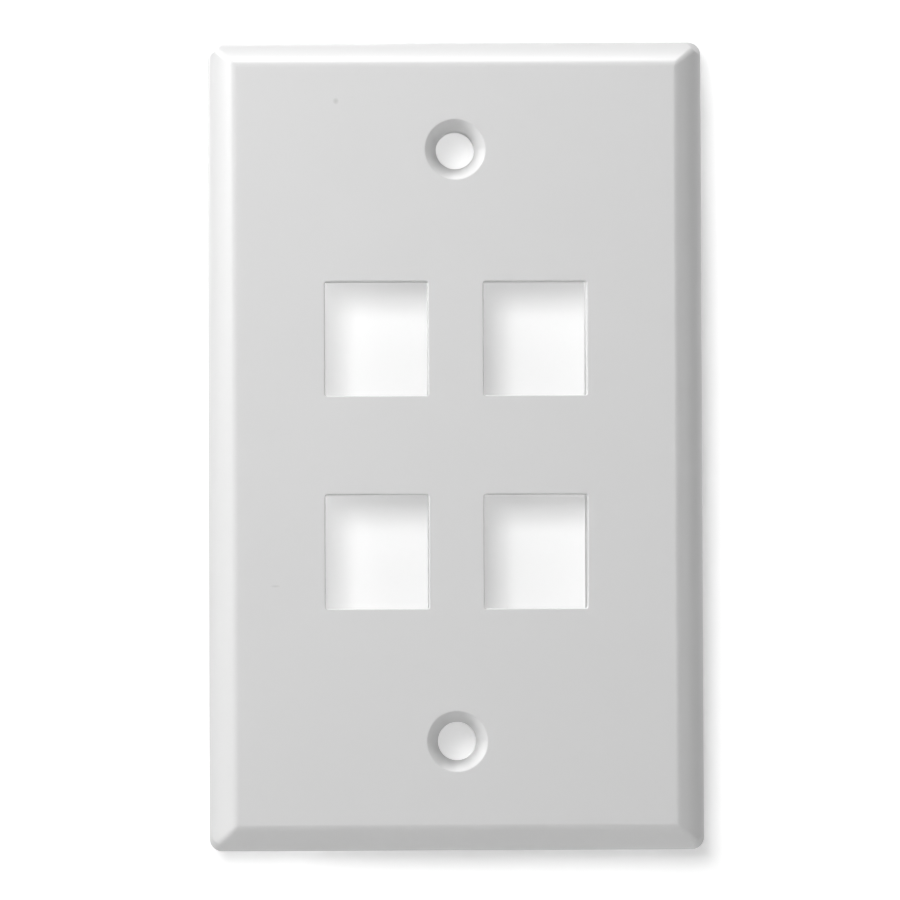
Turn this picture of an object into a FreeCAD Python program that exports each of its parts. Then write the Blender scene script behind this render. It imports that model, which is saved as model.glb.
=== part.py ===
import FreeCAD, Part
import math
import os

# Keystone faceplate: one gang, four ports, a single injection moulding of ABS.
# Millimetres.  +Z is up and +X is right, both as seen from the room; the face looks along -Y.
# The origin is the middle of the rear rim plane, the plane that lies against the wall.

Vector = FreeCAD.Vector
ORIGIN = Vector(0, 0, 0)
ACROSS = Vector(1, 0, 0)
REARWARD = Vector(0, 1, 0)
UP = Vector(0, 0, 1)

# Plate, outside
plate_width = 69.85
plate_height = 114.3
plate_depth = 5.8
corner_radius = 1.8
rim_side = 1.6
rim_draft = 0.35
side_bevel_run = 3.75
end_bevel_run = 3.35
bevel_radius = 7.5
face_radius = 1.4
crease_radius = 0.8

# Plate, inside
face_wall = 2.0
bevel_wall = 2.0
rim_wall = 1.9
cavity_corner = 1.0

# Keystone ports: columns and rows centred on the origin
columns = 2
rows = 2
port_pitch_across = 22.35
port_pitch_up = 30.0
port_width = 14.5
port_height = 16.05
port_corner = 0.3
port_edge = 0.2

# Jack channel behind each port; depths are counted back from the face
collar_depth = 9.9
collar_wall = 1.6
collar_corner = 0.8
latch_ledge = 3.8
lug_ledge = 6.3
catch_depth = 8.3
latch_room = 3.1
latch_pocket = 1.5
lug_pocket = 1.5
latch_ramp = 1.1
lug_ramp = 0.6

# Screw holes on the middle line, countersunk from the face
screw_pitch = 83.34
screw_hole = 5.4
head_width = 8.5
head_angle = 82.0
head_edge = 0.25
boss_wall = 2.3

# Stiffening ribs on the back
rib_wall = 1.1
rib_setback = 1.2

# Witness marks of the ejector pins, on the floor beside the outer ribs
ejector_width = 5.0
ejector_depth = 0.15
ejector_inset_across = 9.5
ejector_pitch_up = 33.0

# How far a cutting tool runs past the surface that it cuts
overrun = 1.0

face_y = -plate_depth
floor_y = face_y + face_wall
collar_end_y = face_y + collar_depth


def centred(count, pitch):
    """Places of a row of equal steps about the middle."""
    return [pitch * (i - (count - 1) / 2) for i in range(count)]


def port_places():
    return [(x, z) for z in centred(rows, port_pitch_up) for x in centred(columns, port_pitch_across)]


def screw_places():
    return centred(2, screw_pitch)


# ---- Helpers: arcs, sections and prisms

def arc_round(centre, start, end):
    """The short arc from start to end about a centre."""
    radius = start.distanceToPoint(centre)
    middle = (start + end) * 0.5 - centre
    middle.multiply(radius / middle.Length)
    return Part.Arc(start, centre + middle, end).toShape()


def closed_section(edges):
    """A face from the edges on the +X side, their mirror image, and lines across both ends."""
    first = edges[0].Vertexes[0].Point
    last = edges[-1].Vertexes[-1].Point
    across = [Part.makeLine(p, Vector(-p.x, p.y, p.z)) for p in (first, last)]
    mirrored = [edge.mirror(ORIGIN, ACROSS) for edge in edges]
    return Part.Face(Part.Wire(Part.__sortEdges__(edges + mirrored + across)))


def run_up(section, length):
    """A section in the XY plane, run along Z."""
    low = section.translated(UP * (-length / 2))
    return low.extrude(UP * length)


def run_across(section, length):
    """The same, turned so that the section's width lies along Z and the run along X."""
    return run_up(section, length).rotated(ORIGIN, REARWARD, 90)


def rounded_outline(width, height, radius, y, middle_x=0, middle_z=0):
    """A rectangle with round corners, in the plane at y."""
    across = width / 2 - radius
    up = height / 2 - radius
    quarter_turns = [(1, 1), (1, -1), (-1, -1), (-1, 1)]
    arcs = []
    for i, (side, end) in enumerate(quarter_turns):
        centre = Vector(middle_x + side * across, y, middle_z + end * up)
        tip_up = centre + UP * (end * radius)
        tip_side = centre + ACROSS * (side * radius)
        ends = (tip_up, tip_side) if i % 2 == 0 else (tip_side, tip_up)
        arcs.append(arc_round(centre, *ends))
    starts = [arc.Vertexes[0].Point for arc in arcs]
    lines = [Part.makeLine(arcs[i].Vertexes[-1].Point, starts[(i + 1) % 4]) for i in range(4)]
    return Part.Wire([edge for pair in zip(arcs, lines) for edge in pair])


def rounded_prism(width, height, radius, front, back, middle_x=0, middle_z=0):
    """A rounded rectangle run from the plane y=front to the plane y=back."""
    outline = rounded_outline(width, height, radius, front, middle_x, middle_z)
    return Part.Face(outline).extrude(REARWARD * (back - front))


# ---- The shell

def bevel_ends(half, run):
    """Foot and head of a bevel in its edge section; half is half the plate's size there."""
    foot = Vector(half - rim_draft, -rim_side, 0)
    head = Vector(half - run, face_y, 0)
    return foot, head


def outer_edges(half, run):
    """A line that leaves the rim free, then the bevel's arc up to the face."""
    foot, head = bevel_ends(half, run)
    chord = head - foot
    inward = Vector(chord.y, -chord.x, 0) * (1 / chord.Length)
    rise = math.sqrt(bevel_radius ** 2 - (chord.Length / 2) ** 2)
    centre = (foot + head) * 0.5 + inward * rise
    skirt = foot + Vector(1, 1, 0) * (overrun - foot.y)
    return [Part.makeLine(skirt, foot), arc_round(centre, foot, head)]


def inner_edges(half, run):
    """The back of the bevel, a straight slope one wall inside the bevel's chord."""
    foot, head = bevel_ends(half, run)
    slope = math.atan2(foot.y - head.y, foot.x - head.x)
    inner_head_x = head.x - bevel_wall / math.sin(slope) + face_wall / math.tan(slope)
    inner_head = Vector(inner_head_x, floor_y, 0)
    rise = overrun - floor_y
    skirt = Vector(inner_head_x + rise / math.tan(slope), overrun, 0)
    return [Part.makeLine(skirt, inner_head)]


def crossed(edges_of):
    """Both edge sections run the length of the plate; where they cross they form the mitres."""
    side = closed_section(edges_of(plate_width / 2, side_bevel_run))
    end = closed_section(edges_of(plate_height / 2, end_bevel_run))
    upright = run_up(side, plate_height + 2 * overrun)
    return upright.common(run_across(end, plate_width + 2 * overrun))


def rim_block():
    """The drafted rim with its round corners, carried up to the face plane."""
    inset = rim_draft / rim_side * plate_depth
    rear = rounded_outline(plate_width, plate_height, corner_radius, 0)
    front = rounded_outline(plate_width - 2 * inset, plate_height - 2 * inset, corner_radius, face_y)
    return Part.makeLoft([rear, front], True, True)


def outer_form():
    """The outside of the plate as one solid, with the face's edge and then the mitres rounded."""
    rim = rim_block()
    block = crossed(outer_edges).common(rim)
    block = block.makeFillet(face_radius, [edge for edge in block.Edges if on_face(edge)])
    mitres = [edge for edge in block.Edges if is_slanted(edge) and is_within(edge, rim)]
    return block.makeFillet(crease_radius, mitres)


def is_slanted(edge):
    return min(edge.BoundBox.XLength, edge.BoundBox.YLength, edge.BoundBox.ZLength) > 1e-3


def is_within(edge, solid):
    return solid.isInside(edge.discretize(3)[1], 1e-3, False)


def cavity():
    """The space behind the face, open to the rear."""
    width = plate_width - 2 * rim_wall
    height = plate_height - 2 * rim_wall
    rim_inside = rounded_prism(width, height, cavity_corner, face_y, overrun)
    return crossed(inner_edges).common(rim_inside)


# ---- Keystone ports

def latch_top():
    return port_height / 2 + latch_room + latch_pocket


def lug_bottom():
    return -port_height / 2 - lug_pocket


def collar(x, z):
    """The square tube that a jack sits in, from inside the face wall to its rear end."""
    top = latch_top() + collar_wall
    bottom = lug_bottom() - collar_wall
    width = port_width + 2 * collar_wall
    middle_z = z + (top + bottom) / 2
    front = face_y + face_wall / 2
    return rounded_prism(width, top - bottom, collar_corner, front, collar_end_y, x, middle_z)


def jack_channel(x, z):
    """Room for a jack: the latch springs out above the port and the fixed lug sits below it."""
    half = port_height / 2
    latch_y = face_y + latch_ledge
    lug_y = face_y + lug_ledge
    catch_y = face_y + catch_depth
    end_y = collar_end_y + overrun
    side = [
        (floor_y, half),
        (latch_y, half),
        (latch_y, latch_top()),
        (catch_y, latch_top()),
        (catch_y, half + latch_room),
        (collar_end_y - latch_ramp, half + latch_room),
        (end_y, half + latch_room + latch_ramp + overrun),
        (end_y, -half - lug_ramp - overrun),
        (collar_end_y - lug_ramp, -half),
        (catch_y, -half),
        (catch_y, lug_bottom()),
        (lug_y, lug_bottom()),
        (lug_y, -half),
        (floor_y, -half),
    ]
    left = x - port_width / 2
    points = [Vector(left, y, z + up) for y, up in side]
    profile = Part.Face(Part.makePolygon(points + points[:1]))
    return profile.extrude(ACROSS * port_width)


def port_window(x, z):
    """The opening through the face wall, with a small radius in its corners."""
    return rounded_prism(port_width, port_height, port_corner, face_y - overrun, floor_y, x, z)


# ---- Screw holes

def boss(z):
    """The round pillar behind a screw hole, as long as the rim is deep."""
    radius = screw_hole / 2 + boss_wall
    front = face_y + face_wall / 2
    return Part.makeCylinder(radius, -front, Vector(0, front, z), REARWARD)


def screw_cut(z):
    """Countersink and hole, turned about the screw's axis."""
    hole = screw_hole / 2
    head = head_width / 2
    cone = (head - hole) / math.tan(math.radians(head_angle / 2))
    profile = [
        (0, face_y - overrun),
        (head, face_y - overrun),
        (head, face_y),
        (hole, face_y + cone),
        (hole, overrun),
        (0, overrun),
    ]
    points = [Vector(radius, y, z) for radius, y in profile]
    section = Part.Face(Part.makePolygon(points + points[:1]))
    return section.revolve(Vector(0, 0, z), REARWARD, 360)


# ---- Back of the plate

def rib(width, height, x, z):
    """A straight rib on the floor, stopping short of the rim plane."""
    front = face_y + face_wall / 2
    size = (width, -rib_setback - front, height)
    corner = Vector(x - width / 2, front, z - height / 2)
    return Part.makeBox(*size, corner)


def ribs():
    """A lattice through the ports' middles and the screw bosses."""
    upright = [rib(rib_wall, plate_height, x, 0) for x in centred(columns, port_pitch_across)]
    level = centred(rows, port_pitch_up) + screw_places()
    return upright + [rib(plate_width, rib_wall, 0, z) for z in level]


def ejector_mark(x, z):
    """A shallow round print left by an ejector pin."""
    return Part.makeCylinder(ejector_width / 2, ejector_depth + overrun,
                             Vector(x, floor_y - ejector_depth, z), REARWARD)


def ejector_marks():
    side = plate_width / 2 - ejector_inset_across
    return [ejector_mark(x, z) for x in (-side, side) for z in centred(3, ejector_pitch_up)]


# ---- The moulding

def softened(shape, radius, wanted):
    """The shape with a small round on the face's own edges that wanted picks out."""
    edges = [edge for edge in shape.Edges if on_face(edge) and wanted(edge)]
    return shape.makeFillet(radius, edges)


def on_face(edge):
    return abs(edge.BoundBox.YMin - face_y) < 1e-4 and edge.BoundBox.YLength < 1e-4


def round_port(edge):
    half_width = port_width / 2 + overrun / 2
    half_height = port_height / 2 + overrun / 2
    middle = edge.BoundBox.Center
    return any(abs(middle.x - x) < half_width and abs(middle.z - z) < half_height
               for x, z in port_places())


def round_screw(edge):
    middle = edge.BoundBox.Center
    return any(abs(middle.x) < head_width and abs(middle.z - z) < head_width for z in screw_places())


def faceplate():
    outside = outer_form()
    shell = outside.cut([cavity()] + ejector_marks())
    collars = [collar(x, z) for x, z in port_places()]
    bosses = [boss(z) for z in screw_places()]
    inside = [piece.common(outside) for piece in ribs()]
    body = shell.fuse(collars + bosses + inside)
    windows = [port_window(x, z) for x, z in port_places()]
    channels = [jack_channel(x, z) for x, z in port_places()]
    screws = [screw_cut(z) for z in screw_places()]
    body = body.cut(windows + channels + screws).removeSplitter()
    body = softened(body, port_edge, round_port)
    return softened(body, head_edge, round_screw)


if __name__ == "__main__":
    os.makedirs("parts", exist_ok=True)
    plate = faceplate()
    plate.exportStep("parts/faceplate.step")
    print("faceplate:", len(plate.Solids), "solid,", len(plate.Faces), "faces,",
          round(plate.Volume, 1), "mm3, valid:", plate.isValid())
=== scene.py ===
# %% [markdown]
# # A keystone faceplate, dressed for a portrait
#
# The object is a one-gang wall plate for four snap-in network jacks. It is a single injection
# moulding of white ABS: a bevelled shell, four square ports with a collar behind each, and two
# countersunk screw holes. Its shape is already exact in the frame that this lesson loads, so the
# work here is what is left: the plastic, the backdrop, the light and the camera.

# %% Load the frame
import math

import bpy
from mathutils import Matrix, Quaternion, Vector


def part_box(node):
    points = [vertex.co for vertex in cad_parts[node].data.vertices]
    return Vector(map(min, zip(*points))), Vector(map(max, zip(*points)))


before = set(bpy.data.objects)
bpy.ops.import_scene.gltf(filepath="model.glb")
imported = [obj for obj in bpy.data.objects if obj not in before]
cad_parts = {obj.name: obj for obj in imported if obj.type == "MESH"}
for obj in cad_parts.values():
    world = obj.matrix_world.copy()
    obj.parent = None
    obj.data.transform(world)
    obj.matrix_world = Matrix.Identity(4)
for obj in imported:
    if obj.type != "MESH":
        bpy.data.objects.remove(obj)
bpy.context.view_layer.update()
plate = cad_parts["faceplate"]
plate_low, plate_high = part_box("faceplate")
plate_size = plate_high - plate_low
print("plate, mm:", [round(side * 1000, 2) for side in plate_size])

# %% [markdown]
# ## Small tools for materials
#
# Colours are written as a painter would note them, in sRGB hex, and Cycles wants linear light, so
# one function turns one into the other. A second function adds a shader node, sets its values and
# makes its links in one call, and two more name the sums that come back below. That keeps each
# material down to the few lines that say something about the real finish.

# %% Colour and node helpers
MM = 0.001


def linear(hex_colour):
    """An sRGB hex colour as the linear RGBA that the shaders use."""
    channels = [int(hex_colour[i:i + 2], 16) / 255 for i in (1, 3, 5)]
    curved = [c / 12.92 if c <= 0.04045 else ((c + 0.055) / 1.055) ** 2.4 for c in channels]
    return (*curved, 1.0)


def new_material(name):
    """An empty node material and its output node."""
    material = bpy.data.materials.new(name)
    material.use_nodes = True
    material.node_tree.nodes.clear()
    return material, add_node(material.node_tree, "ShaderNodeOutputMaterial")


def add_node(tree, kind, links=None, **settings):
    """Adds a node. A setting names an attribute or an input, and a link feeds an input."""
    node = tree.nodes.new(kind)
    for name, value in settings.items():
        if hasattr(node, name):
            setattr(node, name, value)
        else:
            node.inputs[name.replace("_", " ")].default_value = value
    for name, source in (links or {}).items():
        tree.links.new(source, node.inputs[name])
    return node


def vector_math(tree, operation, source, constant=None):
    """A vector operation on a socket, with a constant where it takes one: the node's outputs."""
    node = add_node(tree, "ShaderNodeVectorMath", {0: source}, operation=operation)
    if constant is not None:
        node.inputs[1].default_value = constant
    return node.outputs


def larger(tree, first, second):
    """The larger of two sockets' values: a socket."""
    return add_node(tree, "ShaderNodeMath", {0: first, 1: second}, operation="MAXIMUM").outputs[0]


ABS_WHITE = "#DADADA"
print("white ABS, linear:", [round(c, 3) for c in linear(ABS_WHITE)[:3]])

# %% [markdown]
# ## The plastic
#
# Wall plates are moulded in ABS or a close relative, in a cool white. The steel mould is polished
# but not mirror bright, so the face has a satin sheen, with a grain too fine for the eye to pick
# out. Two things keep it from looking like flat paint: the skin has a very shallow waviness where
# the plastic shrank as it cooled, and the gloss varies a little from place to place. All of it
# could be painted maps, but noise patterns in the plate's own millimetres do the same and hold from
# every side.
#
# Moulded plates also carry small faults. This one has a grey speck near its top left, perhaps burnt
# resin, and a faint scuff to the left of the lower ports. Each is an oval in millimetres on the
# face, soft at its edge, which tints the plastic a little.

# %% Injection-moulded white ABS
SHRINK_WAVE = 14 * MM
SHRINK_HEIGHT = 0.06 * MM
SKIN_GRAIN = 0.35 * MM
GRAIN_HEIGHT = 0.01 * MM
GLOSSIEST, DULLEST = 0.40, 0.46
ABS_IOR = 1.53
MARK_GREY = "#C5C5C4"
MARK_DEPTH = 1.0 * MM
MARK_EDGE, MARK_CORE = 1.0, 0.3


def face_mark(tree, place, centre, half, strength):
    """A soft oval on the face, centre and half sizes in mm across and up: its mask socket."""
    middle = (centre[0] * MM, plate_low.y, centre[1] * MM)
    offset = vector_math(tree, "SUBTRACT", place, middle)
    scaled = vector_math(tree, "DIVIDE", offset["Vector"], (half[0] * MM, MARK_DEPTH, half[1] * MM))
    reach = vector_math(tree, "LENGTH", scaled["Vector"])
    mask = add_node(tree, "ShaderNodeMapRange", {"Value": reach["Value"]},
                    From_Min=MARK_EDGE, From_Max=MARK_CORE, To_Max=strength)
    return mask.outputs["Result"]


def moulded_skin(tree, place):
    """The shrink waves and the fine grain: the waves' height socket and the normal socket."""
    wave = add_node(tree, "ShaderNodeTexNoise", {"Vector": place},
                    Scale=1 / SHRINK_WAVE, Detail=1.0)
    grain = add_node(tree, "ShaderNodeTexNoise", {"Vector": place},
                     Scale=1 / SKIN_GRAIN, Detail=2.0)
    wave_bump = add_node(tree, "ShaderNodeBump", {"Height": wave.outputs["Fac"]},
                         Strength=0.15, Distance=SHRINK_HEIGHT)
    grain_bump = add_node(tree, "ShaderNodeBump",
                          {"Height": grain.outputs["Fac"], "Normal": wave_bump.outputs["Normal"]},
                          Strength=0.12, Distance=GRAIN_HEIGHT)
    return wave.outputs["Fac"], grain_bump.outputs["Normal"]


def moulded_abs():
    """The plate's material: white, satin, gently uneven, with its two marks."""
    material, output = new_material("injection_moulded_abs_white")
    tree = material.node_tree
    place = add_node(tree, "ShaderNodeTexCoord").outputs["Object"]
    waves, normal = moulded_skin(tree, place)
    gloss = add_node(tree, "ShaderNodeMapRange", {"Value": waves},
                     To_Min=GLOSSIEST, To_Max=DULLEST)
    speck = face_mark(tree, place, (-16.8, 48.5), (0.48, 0.52), 0.9)
    scuff = face_mark(tree, place, (-25.5, -19.8), (0.75, 0.2), 0.6)
    colour = add_node(tree, "ShaderNodeMixRGB", {"Fac": larger(tree, speck, scuff)},
                      Color1=linear(ABS_WHITE), Color2=linear(MARK_GREY))
    shader = add_node(tree, "ShaderNodeBsdfPrincipled",
                      {"Normal": normal, "Roughness": gloss.outputs["Result"],
                       "Base Color": colour.outputs["Color"]}, IOR=ABS_IOR)
    tree.links.new(shader.outputs["BSDF"], output.inputs["Surface"])
    return material


abs_white = moulded_abs()
for material_slot in plate.material_slots:
    material_slot.material = abs_white
print("plate material:", abs_white.name)

# %% [markdown]
# ## Backdrop and floor
#
# The plate hangs before a white surface close behind it, so that its shadow hugs the right and
# lower edges and shows inside the ports. The backdrop is a large sheet, a little behind the
# collars. Its white comes from the sheet's own colour and a glow that lights nothing: only the rays
# that look at a background see it. Round the plate's outline the glow is lower. This is painted
# shade that keeps and deepens the shadow there. A few millimetres out the glow rises to full white.
# This is painted light that whitens the lamps' faint long shadows.
#
# The sheet is left out of what gloss and glass see, and they see the white world behind it instead.
# So close to the plate the sheet is brighter than white, and it would burn out the thin rim that
# outlines the plate. It is also one-sided, as a stage wall is: seen from behind, it is not there,
# so the back of the plate can be looked at too. A plain pale floor lies well below.

# %% Backdrop and floor
SHEET_HALF = 1.5
SHEET_GAP = 2 * MM
FLOOR_DROP = 0.30
BACKDROP_ALBEDO, FLOOR_ALBEDO = 0.95, 0.8
# The near glow paints shade round the plate's outline, and the far glow paints full white past it.
NEAR_GLOW_PAINTED_SHADE, FAR_GLOW_PAINTED_LIGHT = 0.34, 0.52
NEAR_EDGE, FAR_EDGE = 0.5 * MM, 7 * MM
FLOOR_GLOW = 0.5


def stage_sheet(name, centre, turn):
    """A square sheet; turn is its rotation about X, which sets which way its front looks."""
    bpy.ops.mesh.primitive_plane_add(size=2 * SHEET_HALF, location=centre, rotation=(turn, 0, 0))
    sheet = bpy.context.object
    sheet.name = name
    return sheet


def background_ray(tree):
    """1 for the camera's rays and for those that gloss and glass send on: a socket."""
    rays = add_node(tree, "ShaderNodeLightPath").outputs
    direct = larger(tree, rays["Is Camera Ray"], rays["Is Glossy Ray"])
    return larger(tree, direct, rays["Is Transmission Ray"])


def past_outline(tree):
    """How many metres outside the plate's outline a point of the upright sheet is: a socket."""
    place = add_node(tree, "ShaderNodeTexCoord").outputs["Object"]
    outline = (plate_size.x / 2, plate_size.z / 2, 0)
    folded = vector_math(tree, "ABSOLUTE", place)
    outside = vector_math(tree, "SUBTRACT", folded["Vector"], outline)
    sides = add_node(tree, "ShaderNodeSeparateXYZ", {"Vector": outside["Vector"]}).outputs
    return larger(tree, sides["X"], sides["Y"])


def white_paper(name, albedo, glow, painted_far_glow=None, one_sided=False):
    """Matt white paper with a background glow; a far glow paints shade at the outline, light past
    it.
    """
    material, output = new_material(name)
    tree = material.node_tree
    strength = add_node(tree, "ShaderNodeMath", {0: background_ray(tree)}, operation="MULTIPLY")
    strength.inputs[1].default_value = glow
    if painted_far_glow is not None:
        # Painted shade and light: the glow is dimmest at the plate's outline and full white a few
        # mm out.
        outline_painted_shade = add_node(tree, "ShaderNodeMapRange", {"Value": past_outline(tree)},
                          From_Min=NEAR_EDGE, From_Max=FAR_EDGE, To_Min=glow, To_Max=painted_far_glow)
        tree.links.new(outline_painted_shade.outputs["Result"], strength.inputs[1])
    glowing = add_node(tree, "ShaderNodeEmission", {"Strength": strength.outputs[0]})
    matt = add_node(tree, "ShaderNodeBsdfDiffuse", Color=(albedo, albedo, albedo, 1))
    front = add_node(tree, "ShaderNodeAddShader", {0: glowing.outputs[0], 1: matt.outputs[0]})
    if one_sided:
        behind = add_node(tree, "ShaderNodeNewGeometry").outputs["Backfacing"]
        clear = add_node(tree, "ShaderNodeBsdfTransparent")
        front = add_node(tree, "ShaderNodeMixShader",
                         {0: behind, 1: front.outputs[0], 2: clear.outputs[0]})
    tree.links.new(front.outputs[0], output.inputs["Surface"])
    return material


backdrop = stage_sheet("backdrop", (0, plate_high.y + SHEET_GAP, 0), math.radians(90))
backdrop.data.materials.append(
    white_paper("backdrop_paper_painted_shade", BACKDROP_ALBEDO, NEAR_GLOW_PAINTED_SHADE, FAR_GLOW_PAINTED_LIGHT, one_sided=True))
backdrop.visible_diffuse = False
backdrop.visible_glossy = False
backdrop.visible_shadow = False
backdrop.visible_transmission = False

floor = stage_sheet("floor", (0, 0, plate_low.z - FLOOR_DROP), 0)
floor.data.materials.append(white_paper("floor_paper", FLOOR_ALBEDO, FLOOR_GLOW))
print("backdrop at y =", round(backdrop.location.y / MM, 2), "mm")

# %% [markdown]
# ## Light
#
# One broad lamp high on the left and close to the camera's line lights the face and throws the
# tight shadow. Five small lamps stand in for the white walls of a light tent. They sit in a ring
# round the plate, only a little before the wall's plane, so they graze the bevels and leave the
# flat face alone: bright left and above, weak right and below. Two soft lamps behind the wall keep
# the back readable in other views.

# %% Lamps
TENT_REACH = 0.55
TENT_EDGE = 0.15
AMBIENT = 0.07


def lamp(name, place, edge, power):
    """A square area lamp aimed at the origin; edge in metres, power in watts."""
    data = bpy.data.lights.new(name, "AREA")
    data.shape = "SQUARE"
    data.size = edge
    data.energy = power
    light = bpy.data.objects.new(name, data)
    bpy.context.scene.collection.objects.link(light)
    light.location = place
    light.rotation_euler = (-Vector(place)).to_track_quat("-Z", "Y").to_euler()


def tent_lamp(name, clock, rise, power):
    """A lamp of the tent, in degrees: clock runs round the plate from +X, rise off the wall."""
    turn, lift = math.radians(clock), math.radians(rise)
    place = (TENT_REACH * math.cos(lift) * math.cos(turn), -TENT_REACH * math.sin(lift),
             TENT_REACH * math.cos(lift) * math.sin(turn))
    lamp(name, place, TENT_EDGE, power)


lamp("key_lamp", (-0.160, -0.75, 0.175), 0.27, 2.57)
tent_lamp("tent_left", 158, 14, 2.05)
tent_lamp("tent_top", 90, 9, 1.62)
tent_lamp("tent_right", 0, 8, 0.24)
tent_lamp("tent_lower_right", 315, 8, 0.68)
tent_lamp("tent_lower_left", 225, 8, 0.25)
lamp("rear_left_lamp", (-0.2, 0.75, 0.25), 0.4, 1.5)
lamp("rear_right_lamp", (0.5, 0.6, 0.2), 0.5, 0.6)


def studio_world():
    """White as a background, and a plain even light on everything else."""
    world = bpy.data.worlds.new("studio")
    world.use_nodes = True
    tree = world.node_tree
    tree.nodes.clear()
    level = add_node(tree, "ShaderNodeMapRange", {"Value": background_ray(tree)},
                     To_Min=AMBIENT, To_Max=1.0)
    shade = add_node(tree, "ShaderNodeBackground", {"Strength": level.outputs["Result"]})
    output = add_node(tree, "ShaderNodeOutputWorld")
    tree.links.new(shade.outputs[0], output.inputs["Surface"])
    bpy.context.scene.world = world


studio_world()
bpy.context.scene.view_settings.view_transform = "Standard"

# %% [markdown]
# ## Camera
#
# The plate is seen almost square on, from a metre away and a few centimetres below and left of its
# middle, through a long lens that keeps its sides parallel. The place sets how much of the ports'
# inner walls shows, and the lens then fills the frame with the plate.

# %% Camera
FRAME_WIDTH = 126.6 * MM
SENSOR = 36.0
camera_place = Vector((-0.018, -1.0, -0.030))
aim = Vector((-0.00089, plate_low.y, -0.00072))
roll = Quaternion((0, 0, 1), math.radians(-0.22))

camera_data = bpy.data.cameras.new("camera")
camera_data.sensor_width = SENSOR
camera_data.lens = SENSOR * (aim - camera_place).length / FRAME_WIDTH
camera = bpy.data.objects.new("camera", camera_data)
bpy.context.scene.collection.objects.link(camera)
camera.location = camera_place
camera.rotation_mode = "QUATERNION"
camera.rotation_quaternion = (aim - camera_place).to_track_quat("-Z", "Y") @ roll
bpy.context.scene.camera = camera
print("lens, mm:", round(camera_data.lens, 1))
